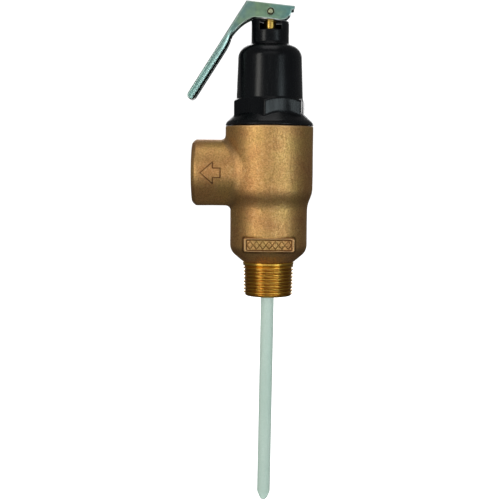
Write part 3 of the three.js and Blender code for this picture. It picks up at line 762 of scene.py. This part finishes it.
def plate_shape(x, y, z):
    """The framed plate: a boss that stands off the casting, a raised frame and a row of lozenges."""
    edge = plate_outline(x, z, PLATE_HALF_WIDTH, PLATE_HALF_HEIGHT)
    boss = meet(edge, np.maximum(PLATE_FRONT - y, y - PLATE_BACK), 0.7)
    raised = np.clip(-lozenges(x, z) * 1.3, 0, LOZENGE_HEIGHT)
    sunk = meet(frame_inside(x, z), y - PLATE_FRONT - FRAME_DEPTH + raised, 0.2)
    return meet(boss, -sunk, INNER_ROUND)


def mark_plate(plate):
    """Painted shade in the groove inside the frame, and between the lozenges."""
    x, y, z = places(plate)
    groove = 1.2 - np.abs(frame_inside(x, z) + 0.25) / 0.35
    between = 0.6 * (1.2 - np.abs(lozenges(x, z) - 0.1) / 0.3) * (frame_inside(x, z) < 0)
    mark(plate, "crease_shade", np.maximum(groove, between) * (y < 0))


def inlet_thread():
    """The machined inlet: a helical taper thread outside and a plain bore inside."""
    columns = 224
    turn = np.linspace(0, 2 * math.pi, columns, endpoint=False)
    rows, hollow = [], []

    def ring(radius, z, depth):
        rows.append(np.stack([radius * np.cos(turn), radius * np.sin(turn), 0 * turn + z], 1))
        hollow.append(depth + 0 * turn)

    for z in np.arange(0, CASTING_LOW - INLET_BEAD, PITCH / 14):
        phase = (z / PITCH - turn / (2 * math.pi)) % 1
        tooth = np.clip((np.abs(phase - 0.5) * 2 - CREST_SHARE) / FLANK_SHARE, 0, 1)
        runout = np.clip((z - RUNOUT_Z) / RUNOUT_LENGTH, 0, 1)
        lead_in = np.clip(1 - z / LEAD_IN_LENGTH, 0, 1) ** 1.5 * LEAD_IN_DEPTH
        cut = np.maximum(tooth * (1 - runout), lead_in * (1 - 0.2 * tooth))
        ring(INLET_CREST_R + z * INLET_TAPER - THREAD_DEPTH * cut, z, tooth * (1 - runout))
    for i in range(7):
        angle = math.radians(15 * i)
        z = CASTING_LOW - INLET_BEAD * (1 - math.sin(angle))
        ring(INLET_BEAD_R + INLET_BEAD * math.cos(angle), z, 0)
    mouth, bore = BORE_R + BORE_CHAMFER, BORE_R - 0.06
    ring(mouth, CASTING_LOW, 0)
    ring(bore, CASTING_LOW - BORE_CHAMFER, 0)
    ring(bore, 0.7, 0)
    ring(mouth, 0.0, 0)
    faces = wrap_faces(len(rows), columns, True)
    made = piece(
        "inlet_thread", np.concatenate(rows), faces, THREAD_BRASS,
        "valve_body", "body", 38)
    # Painted shade in the thread's roots, deepest where the tooth is cut deepest.
    mark(made, "hollow_shade", np.concatenate(hollow))


def outlet_thread():
    """The socket's internal thread, as a threaded sleeve set into the hub."""
    columns = 160
    turn = np.linspace(0, 2 * math.pi, columns, endpoint=False)
    start, end = OUTLET_X + 1.3, SOCKET_END_X + 0.4
    taper = 0.03
    rows = []
    for x in np.arange(start, end - 2.2, PITCH / 12):
        phase = (x / PITCH - turn / (2 * math.pi)) % 1
        tooth = np.clip(np.abs(phase - 0.5) * 2.5 - 0.15, 0, 1)
        inner = SOCKET_R - THREAD_DEPTH - (x - start) * taper + THREAD_DEPTH * tooth
        rows.append((inner, x + 0 * turn))
    plain_r, back_r = SOCKET_R - 0.6, SOCKET_R + 0.5
    for radius, x in ((plain_r, end - 1.9), (plain_r, end), (back_r, end), (back_r, start)):
        rows.append((radius + 0 * turn, x + 0 * turn))
    points = [np.stack([x, r * np.cos(turn), r * np.sin(turn) + OUTLET_Z], 1) for r, x in rows]
    faces = [face[::-1] for face in wrap_faces(len(rows), columns, True)]
    piece(
        "outlet_thread", np.concatenate(points), faces, OUTLET_BRASS,
        "valve_body", "body", 38)


def body():
    low, high = np.array([OUTLET_X, -UPPER_R, CASTING_LOW - 0.3]), BODY_HIGH
    cast = field_piece(
        "body_casting", casting, low, high, CELL,
        BRONZE, "valve_body", "cast_bronze", "body")
    mark_crease_shade(cast)
    plate = field_piece(
        "framed_plate", plate_shape, *PLATE_REGION, FINE_CELL,
        BRONZE, "valve_body", "cast_bronze", "body", 0.35)
    mark_plate(plate)
    arrow = field_piece(
        "flow_arrow", arrow_shape, *ARROW_REGION, FINE_CELL,
        BRONZE, "valve_body", "cast_bronze", "body", 0.35)
    mark_crease_shade(arrow)
    inlet_thread()
    outlet_thread()


# ---- Bonnet --------------------------------------------------------------------------------------
def above_neck(x, z):
    """How far a place is above the neck's sloping top."""
    return x * math.sin(NECK_SLOPE) + (z - NECK_TOP) * math.cos(NECK_SLOPE)


def bonnet_flange(r, z):
    flange = meet(r - UPPER_R, slope(r, z, (UPPER_R, FLANGE_EDGE_Z), FLANGE_CONE_NORMAL), 1.2)
    flange = meet(flange, FLANGE_LOW - z, 0.2)
    return meet(flange, z - FLANGE_HIGH, 0.5)


def bonnet_hexagon(x, y, r, z):
    sides = []
    for i in range(6):
        angle = -math.pi / 2 + HEX_TURN + (i + 0.5) * math.pi / 3
        sides.append(x * math.cos(angle) + y * math.sin(angle) - HEX_R * math.cos(math.pi / 6))
    hexagon = sides[0]
    for side in sides[1:]:
        hexagon = meet(hexagon, side, 0.5)
    hexagon = meet(hexagon, slope(r, z, (HEX_R, HEX_CHAMFER_Z), HEX_CHAMFER_NORMAL), FACE_ROUND)
    return meet(hexagon, np.maximum(FLANGE_LOW + 0.5 - z, z - HEX_TOP), FACE_ROUND)


def bonnet_drum(r, z):
    """The tapered cylinder with its domed shoulder."""
    taper = (DRUM_LOW_R - DRUM_HIGH_R) / (DRUM_HIGH_Z - DRUM_LOW_Z)
    drum_r = DRUM_LOW_R - taper * (z - DRUM_LOW_Z)
    q = (r - drum_r + DOME_ROUND, z - DOME_TOP + DOME_ROUND)
    drum = np.hypot(np.maximum(q[0], 0), np.maximum(q[1], 0)) + np.minimum(np.maximum(*q), 0) - DOME_ROUND
    return np.maximum(drum, 95 - z)


def bonnet_inside(x, y, r, z):
    """The spring's room, the funnel over it, the neck's bore, and the slot across the neck's front."""
    top = SPRING_ROOM_TOP
    room = np.minimum(tube(r, z, SPRING_ROOM_R, 80, top), tube(r, z, NECK_BORE_R, top - 1, 150))
    funnel = slope(r, z, (SPRING_ROOM_R, top), FUNNEL_NORMAL)
    funnel = np.maximum(funnel, np.maximum(top - 0.1 - z, z - FUNNEL_TOP))
    slot = np.maximum(np.abs(x) - SLOT_WIDTH / 2, np.maximum(SLOT_FLOOR - z, y))
    return np.minimum(np.minimum(room, funnel), slot)


def bonnet_shape(x, y, z):
    r = np.hypot(x, y)
    neck = np.maximum(meet(r - NECK_R, above_neck(x, z), 0.5), 120 - z)
    thread = tube(r, z, BONNET_THREAD_R, BONNET_LOWEST, FLANGE_LOW + 2)
    whole = join(bonnet_flange(r, z), bonnet_hexagon(x, y, r, z), 0.6)
    whole = join(whole, bonnet_drum(r, z), 0.5)
    whole = join(whole, neck, 1.6)
    whole = np.minimum(whole, thread)
    return meet(whole, -bonnet_inside(x, y, r, z), INNER_ROUND)


def bonnet():
    field_piece(
        "bonnet_housing", bonnet_shape, BONNET_LOW, BONNET_HIGH, CELL,
        BLACK, "valve_body", "black_housing", "bonnet")


def washer():
    """The wear washer on the neck's sloping top."""
    low, high = NECK_TOP + 0.1, NECK_TOP + 0.6
    inner, outer = 3.6, 9.5
    profile = rounded([(inner, low), (outer, low), (outer, high), (inner, high)], 0.15, closed=True)
    points, faces = revolve(profile)
    points = turned_about(points, NECK_SLOPE, NECK_TOP)
    piece("wear_washer_plate", points, faces, STEEL, "valve_body", "wear_washer", 40)


# ---- Lever ---------------------------------------------------------------------------------------
# The lever's outlines are in a plane across the pin's axis, with the pin at (0, 0). The arm falls
# away from CREST along DOWN, and INWARD points from the arm's back towards the bonnet.
FALL = math.radians(57.5)
CREST = np.array([-12.4, 5.4])
DOWN = np.array([-math.cos(FALL), -math.sin(FALL)])
INWARD = np.array([math.sin(FALL), -math.cos(FALL)])
ARM_LENGTH = 57.4
ARM_DEPTH = 4.6
HALF_WIDTH = 5.8
SHEET = 1.2
NOTCH = 17.7
NOTCH_DEPTH = 3.0
ARM_FULL = 26.0
TOP_FALL = 0.107
TOP_BEND_X = -6.5
CAM_RISE = 5.15
TRAVEL = math.radians(55)


def on_arm(down, inward):
    """The point so far down the arm and so far in from its back."""
    return tuple(CREST + down * DOWN + inward * INWARD)


def curve(a, b, c, steps=8):
    """Points from a to c, bending by b."""
    a, b, c = (np.array(p, float) for p in (a, b, c))
    return [tuple((1 - t) ** 2 * a + 2 * t * (1 - t) * b + t * t * c) for t in np.linspace(0, 1, steps)]


def cam_point(turn):
    """The cam's involute edge, so that it rolls on the washer as the lever turns."""
    washer_height = 0.7
    reach = (PIN[1] - NECK_TOP) * math.cos(NECK_SLOPE) - washer_height + CAM_RISE * turn
    down = -math.pi / 2 - NECK_SLOPE + turn
    return (
        reach * math.cos(down) - CAM_RISE * math.sin(down),
        reach * math.sin(down) + CAM_RISE * math.cos(down),
    )


def ear_corners():
    """The ear's outline: the arm's root, the waist, the cam, the stepped nose and the top."""
    cam = [cam_point(TRAVEL * i / 10) for i in range(11)]
    root = on_arm(NOTCH, NOTCH_DEPTH + 0.15)
    waist = (-8.5, -3.0)
    nose = [(10.4, -1.0), (10.6, 0.8), (12.3, 1.2), (12.3, 2.75)]
    return [
        tuple(CREST), on_arm(20, 0), root,
        *curve(root, (-14.2, -4.6), waist)[1:],
        *curve(waist, (-5, -2.8), cam[0])[1:],
        *cam[1:], *nose,
    ]


def arm_corners():
    """The arm's outline, which runs on past the arm's end and deepens below the notch."""
    far = ARM_LENGTH + 10
    full = curve(on_arm(ARM_FULL, ARM_DEPTH), on_arm(22, ARM_DEPTH), on_arm(NOTCH, NOTCH_DEPTH))
    return [on_arm(6, 0), on_arm(far, 0), on_arm(far, ARM_DEPTH), *full, on_arm(6, NOTCH_DEPTH)]


EAR = ear_corners()
ARM = arm_corners()


def along_lever(x, z):
    """How far a place, measured from the pin, is down the arm and in from its back."""
    down = (x - CREST[0]) * DOWN[0] + (z - CREST[1]) * DOWN[1]
    inward = (x - CREST[0]) * INWARD[0] + (z - CREST[1]) * INWARD[1]
    return down, inward


def lever_outside(x, y, z):
    """The stamping as a solid bar: flat ears, and an arm whose edges curl over below the notch."""
    down, inward = along_lever(x, z)
    side = np.abs(y) - HALF_WIDTH
    arm = meet(polygon(x, z, ARM), down - ARM_LENGTH, 3.0)
    flat = join(polygon(x, z, EAR), arm, 0.3)
    back = meet(side, -inward, 1.1)
    depth = np.interp(down, (NOTCH, 22, ARM_FULL), (NOTCH_DEPTH, 4.2, ARM_DEPTH))
    curl = meet(back, inward - depth, 3.0)
    bend = np.clip((down - NOTCH + 1) / 3.0, 0, 1)
    return meet(back * (1 - bend) + curl * bend, flat, 0.25)


def lever_inside(x, y, z):
    """What the sheet encloses: the room between the ears, and the channel with its narrow mouth."""
    down, inward = along_lever(x, z)
    side = np.abs(y) - HALF_WIDTH + SHEET
    beside_back = SHEET - inward
    top = z - (CREST[1] - (x - CREST[0]) * TOP_FALL)
    under = np.maximum(beside_back, np.where(x < TOP_BEND_X, top + SHEET, -20.0))
    channel = meet(side, under, 1.2)
    deep = np.where(down > NOTCH, inward - ARM_DEPTH + SHEET, -20.0)
    tip = down - ARM_LENGTH + SHEET
    hollow = meet(channel, np.maximum(deep, tip), 1.2)
    mouth = np.maximum(side + 1.6, np.maximum(beside_back, tip + 0.8))
    return np.minimum(hollow, mouth)


def lever_shape(x, y, z):
    """A sheet stamping: two ears under a web that runs on as a channel with curled edges."""
    z = z - PIN[1]
    hole = np.hypot(x, z) - PIN_HOLE_R
    return meet(lever_outside(x, y, z), -np.minimum(lever_inside(x, y, z), hole), 0.25)


def lever():
    low, high = cad_box("lever")
    made = field_piece(
        "lever_stamping", lever_shape, low, high, 0.24,
        PLATED, "lever", "plated_lever", "lever", 0.5)
    x, y, z = places(made)
    inward = along_lever(x, z - PIN[1])[1]
    skin = 0.4 * SHEET
    # Painted shade: how far a point lies on the faces inside the channel.
    mark(made, "inside", np.minimum(HALF_WIDTH - skin - np.abs(y), inward - skin) / 0.3)


def lever_pin():
    """A pin whose ends are upset into heads with a sunk ring round a low boss."""
    end = PIN_HIGH[1]
    boss = [(0, end - 0.16), (0.75, end - 0.02), (1.1, end - 0.12)]
    ring = [(1.2, end - 0.42), (1.7, end - 0.42)]
    rim = [(1.78, end - 0.2), (1.85, end - 0.25), (1.85, end - 0.62)]
    half = [*boss, *ring, *rim, (1.3, end - 0.66), (1.3, 0.0)]
    profile = [(r, -z) for r, z in half] + [(r, z) for r, z in reversed(half[:-1])]
    profile = [profile[0], *rounded(profile, 0.12)[1:-1], profile[-1]]
    points, faces = revolve_solid(profile, 40)
    made = piece(
        "lever_pin_turned", laid_along_y(points, 0, PIN[1]), faces, PIN_STEEL, "stem",
        "lever_pin", 40)
    from_axis = np.hypot(points[:, 0], points[:, 1])
    # Painted shade in the sunk ring round the boss.
    mark(made, "crease_shade", 1.6 - np.abs(from_axis - 1.5) / 0.26)


def stem_shape(x, y, z):
    """The lifting stem: a head in the disc holder, a thin shank, and a thick end with the pin's hole."""
    low, high = STEM_LOW[2], STEM_HIGH[2]
    head_r, shank_r, end_r = 3.9, 2.2, 3.0
    head_height, end_start = 2.7, 128
    groove_z, groove_r = 137.4, 0.45
    r = np.hypot(x, y)
    head = meet(r - head_r, np.maximum(low - z, z - low - head_height), 0.3)
    shank = tube(r, z, shank_r, low + 1, high - 10)
    thick = meet(r - end_r, slope(r, z, (end_r, high - 0.7), (0.7, 0.6)), 0.3)
    thick = meet(thick, z - high, 0.3)
    thick = meet(thick, slope(r, z, (shank_r, end_start), (0.75, -0.6)), 0.3)
    groove = np.hypot(r - end_r - 0.25, z - groove_z) - groove_r
    thick = meet(thick, -groove, 0.2)
    hole = np.hypot(x, z - PIN[1]) - PIN_HOLE_R
    return meet(join(join(head, shank, 0.5), thick, 0.3), -hole, 0.25)


def stem():
    field_piece(
        "stem_turned", stem_shape, STEM_LOW, STEM_HIGH, 0.25,
        STEM_BRASS, "stem", "brass", "stem", 0.4)


# ---- Spring and probe ----------------------------------------------------------------------------
def main_spring():
    """Round wire in six open turns between two closed end turns, ground flat."""
    wire, coil, turns = 1.3, 9.6, 6
    low, high = SPRING_LOW[2], SPRING_HIGH[2]
    section, steps = 16, (turns + 2) * 48
    ground = wire * 0.55
    closed = 2 * wire * 0.92
    points = []
    for i in range(steps + 1):
        turn = (turns + 2) * i / steps
        rise = min(max(turn - 1, 0), turns) / turns
        ends = min(turn, 1) + max(turn - 1 - turns, 0)
        middle = low + ground + closed * ends + rise * (high - low - 2 * ground - 2 * closed)
        angle = 2 * math.pi * turn
        for j in range(section):
            around = 2 * math.pi * j / section
            r = coil + wire * math.cos(around)
            z = min(max(middle + wire * math.sin(around), low), high)
            points.append((r * math.cos(angle), r * math.sin(angle), z))
    faces = [face[::-1] for face in wrap_faces(steps + 1, section, False)]
    faces.append(tuple(range(section)))
    faces.append(tuple(reversed(range(steps * section, (steps + 1) * section))))
    made = piece("main_spring", points, faces, WIRE, "valve_body", "spring", 40)
    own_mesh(made)


def probe_coating():
    """The probe's polymer coat, with a rounded, pointed tip."""
    low, top, inner_r = PROBE_TIP, PROBE_TOP, PROBE_R - PROBE_WALL
    outer = [(0.0, low), (0.9, low), (1.9, low + 1.0), (PROBE_R, low + 4.4), (PROBE_R, top)]
    inner = [(inner_r, top), (inner_r, low + 3.9), (1.4, low + 0.8), (0.0, low + 0.8)]
    profile = rounded(outer + inner, 0.8, 6)
    longest = 6
    rows = [profile[0]]
    for a, b in zip(profile, profile[1:]):
        parts = max(1, int(abs(b[1] - a[1]) / longest))
        for i in range(1, parts + 1):
            rows.append((a[0] + (b[0] - a[0]) * i / parts, a[1] + (b[1] - a[1]) * i / parts))
    points, faces = revolve_solid(rows, 64)
    points = turned_about(points, PROBE_LEAN, PROBE_PIVOT)
    piece("probe_coat", points, faces, POLYMER, "valve_body", "probe_coating", 50)


# ---- Inner pieces that keep their CAD shape --------------------------------------------------------
def finish_inner_pieces():
    """Gives the CAD nodes that nothing replaces the material of what they are made of."""
    looks = {
        "adjusting_screw": STEM_BRASS,
        "upper_spring_seat": STEEL,
        "lower_spring_seat": STEEL,
        "slip_ring": STEEL,
        "diaphragm": RUBBER,
        "disc_holder": STEM_BRASS,
        "seat_disc": RUBBER,
        "disc_retainer": STEM_BRASS,
        "thermostat_guide": STEM_BRASS,
        "thermostat_tube": COPPER,
        "wax_charge": WAX,
        "element_plug": RUBBER,
        "push_rod": STEEL,
    }
    for node, material in looks.items():
        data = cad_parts[node].data
        data.materials.clear()
        data.materials.append(material)


# ---- Stage ---------------------------------------------------------------------------------------
AIM = Vector((0, 0, 0.07))
WHITE = (1.0, 1.0, 1.0)


def camera():
    """The photo's view, from the front and tipped a little downwards."""
    made = bpy.data.objects.new("camera", bpy.data.cameras.new("camera"))
    bpy.context.scene.collection.objects.link(made)
    made.data.lens = 72
    made.data.sensor_width = 36
    made.data.clip_start = 0.05
    made.data.clip_end = 60
    pitch, roll = math.atan(0.085), math.radians(0.42)
    turn = Matrix.Rotation(math.pi / 2 - pitch, 4, "X") @ Matrix.Rotation(roll, 4, "Z")
    made.matrix_world = Matrix.Translation(Vector((-9.6, -521.8, 67.94)) * MM) @ turn
    bpy.context.scene.camera = made


def floor():
    """A pale floor just under the probe's tip, as white as the backdrop."""
    mesh = bpy.data.meshes.new("floor")
    half, z = 15.0, CAD_BOX[0].z - 0.004
    corners = [(-half, -half, z), (half, -half, z), (half, half, z), (-half, half, z)]
    mesh.from_pydata(corners, [], [(0, 1, 2, 3)])
    made = bpy.data.objects.new("floor", mesh)
    bpy.context.scene.collection.objects.link(made)
    look = Finish("floor_look", 0.0, 0.9)
    look.set("Base Color", look.ramp(look.noise(0.8, 2), (0.3, 0.88), (0.7, 0.92)))
    look.shader.inputs["Emission Color"].default_value = (1, 1, 1, 1)
    look.shader.inputs["Emission Strength"].default_value = 1.0
    mesh.materials.append(look.material)
    made.visible_glossy = False


def studio_world():
    """A white backdrop for the camera. All else sees a dim room, lighter near the floor and overhead."""
    world = bpy.data.worlds.new("studio")
    bpy.context.scene.world = world
    world.use_nodes = True
    nodes, links = world.node_tree.nodes, world.node_tree.links
    background = nodes["Background"]
    path = nodes.new("ShaderNodeLightPath")
    shade = nodes.new("ShaderNodeMix")
    shade.data_type = "RGBA"
    links.new(path.outputs["Is Camera Ray"], shade.inputs["Factor"])
    up = nodes.new("ShaderNodeSeparateXYZ")
    links.new(nodes.new("ShaderNodeTexCoord").outputs["Generated"], up.inputs[0])
    total = nodes.new("ShaderNodeMath")
    overhead, underneath = (-0.35, 0.1, 0.03, 0.16), (-0.6, -0.9, 0.0, 0.1)
    for i, numbers in enumerate((overhead, underneath)):
        fade = nodes.new("ShaderNodeMapRange")
        for name, number in zip(("From Min", "From Max", "To Min", "To Max"), numbers):
            fade.inputs[name].default_value = number
        links.new(up.outputs["Z"], fade.inputs["Value"])
        links.new(fade.outputs["Result"], total.inputs[i])
    links.new(total.outputs[0], shade.inputs[6])
    shade.inputs[7].default_value = (1.1, 1.1, 1.1, 1)
    links.new(shade.outputs[2], background.inputs["Color"])


def soft_light(name, azimuth, height, distance, size, power, tint):
    """A soft box that looks at the bonnet's foot. Azimuth 0 is the camera's side."""
    data = bpy.data.lights.new(name, "AREA")
    data.shape = "RECTANGLE"
    data.size, data.size_y = size
    data.energy = power
    data.color = tint
    made = bpy.data.objects.new(name, data)
    bpy.context.scene.collection.objects.link(made)
    angle = math.radians(azimuth)
    place = Vector((math.sin(angle) * distance, -math.cos(angle) * distance, height))
    turn = (AIM - place).to_track_quat("-Z", "Y").to_matrix().to_4x4()
    made.matrix_world = Matrix.Translation(place) @ turn


def lights():
    soft_light("left_box", -41, 0.19, 0.95, (0.24, 0.58), 2.6, (1.0, 0.99, 0.93))
    soft_light("right_box", 39, 0.06, 0.95, (0.28, 0.32), 1.95, (0.82, 0.96, 1.0))
    soft_light("front_fill", 0, 0.9, 1.3, (1.3, 0.5), 1.5, WHITE)
    soft_light("low_fill", 0, -0.02, 1.3, (1.3, 0.16), 1.9, WHITE)
    soft_light("rear_box", 180, 0.3, 1.2, (0.7, 0.9), 5.0, WHITE)
    soft_light("top_box", 0, 1.4, 0.2, (0.8, 0.8), 3.0, WHITE)


def stage():
    floor()
    studio_world()
    lights()
    bpy.context.scene.view_settings.view_transform = "Standard"


camera()
stage()
body()
bonnet()
washer()
lever()
lever_pin()
stem()
main_spring()
probe_coating()
finish_inner_pieces()
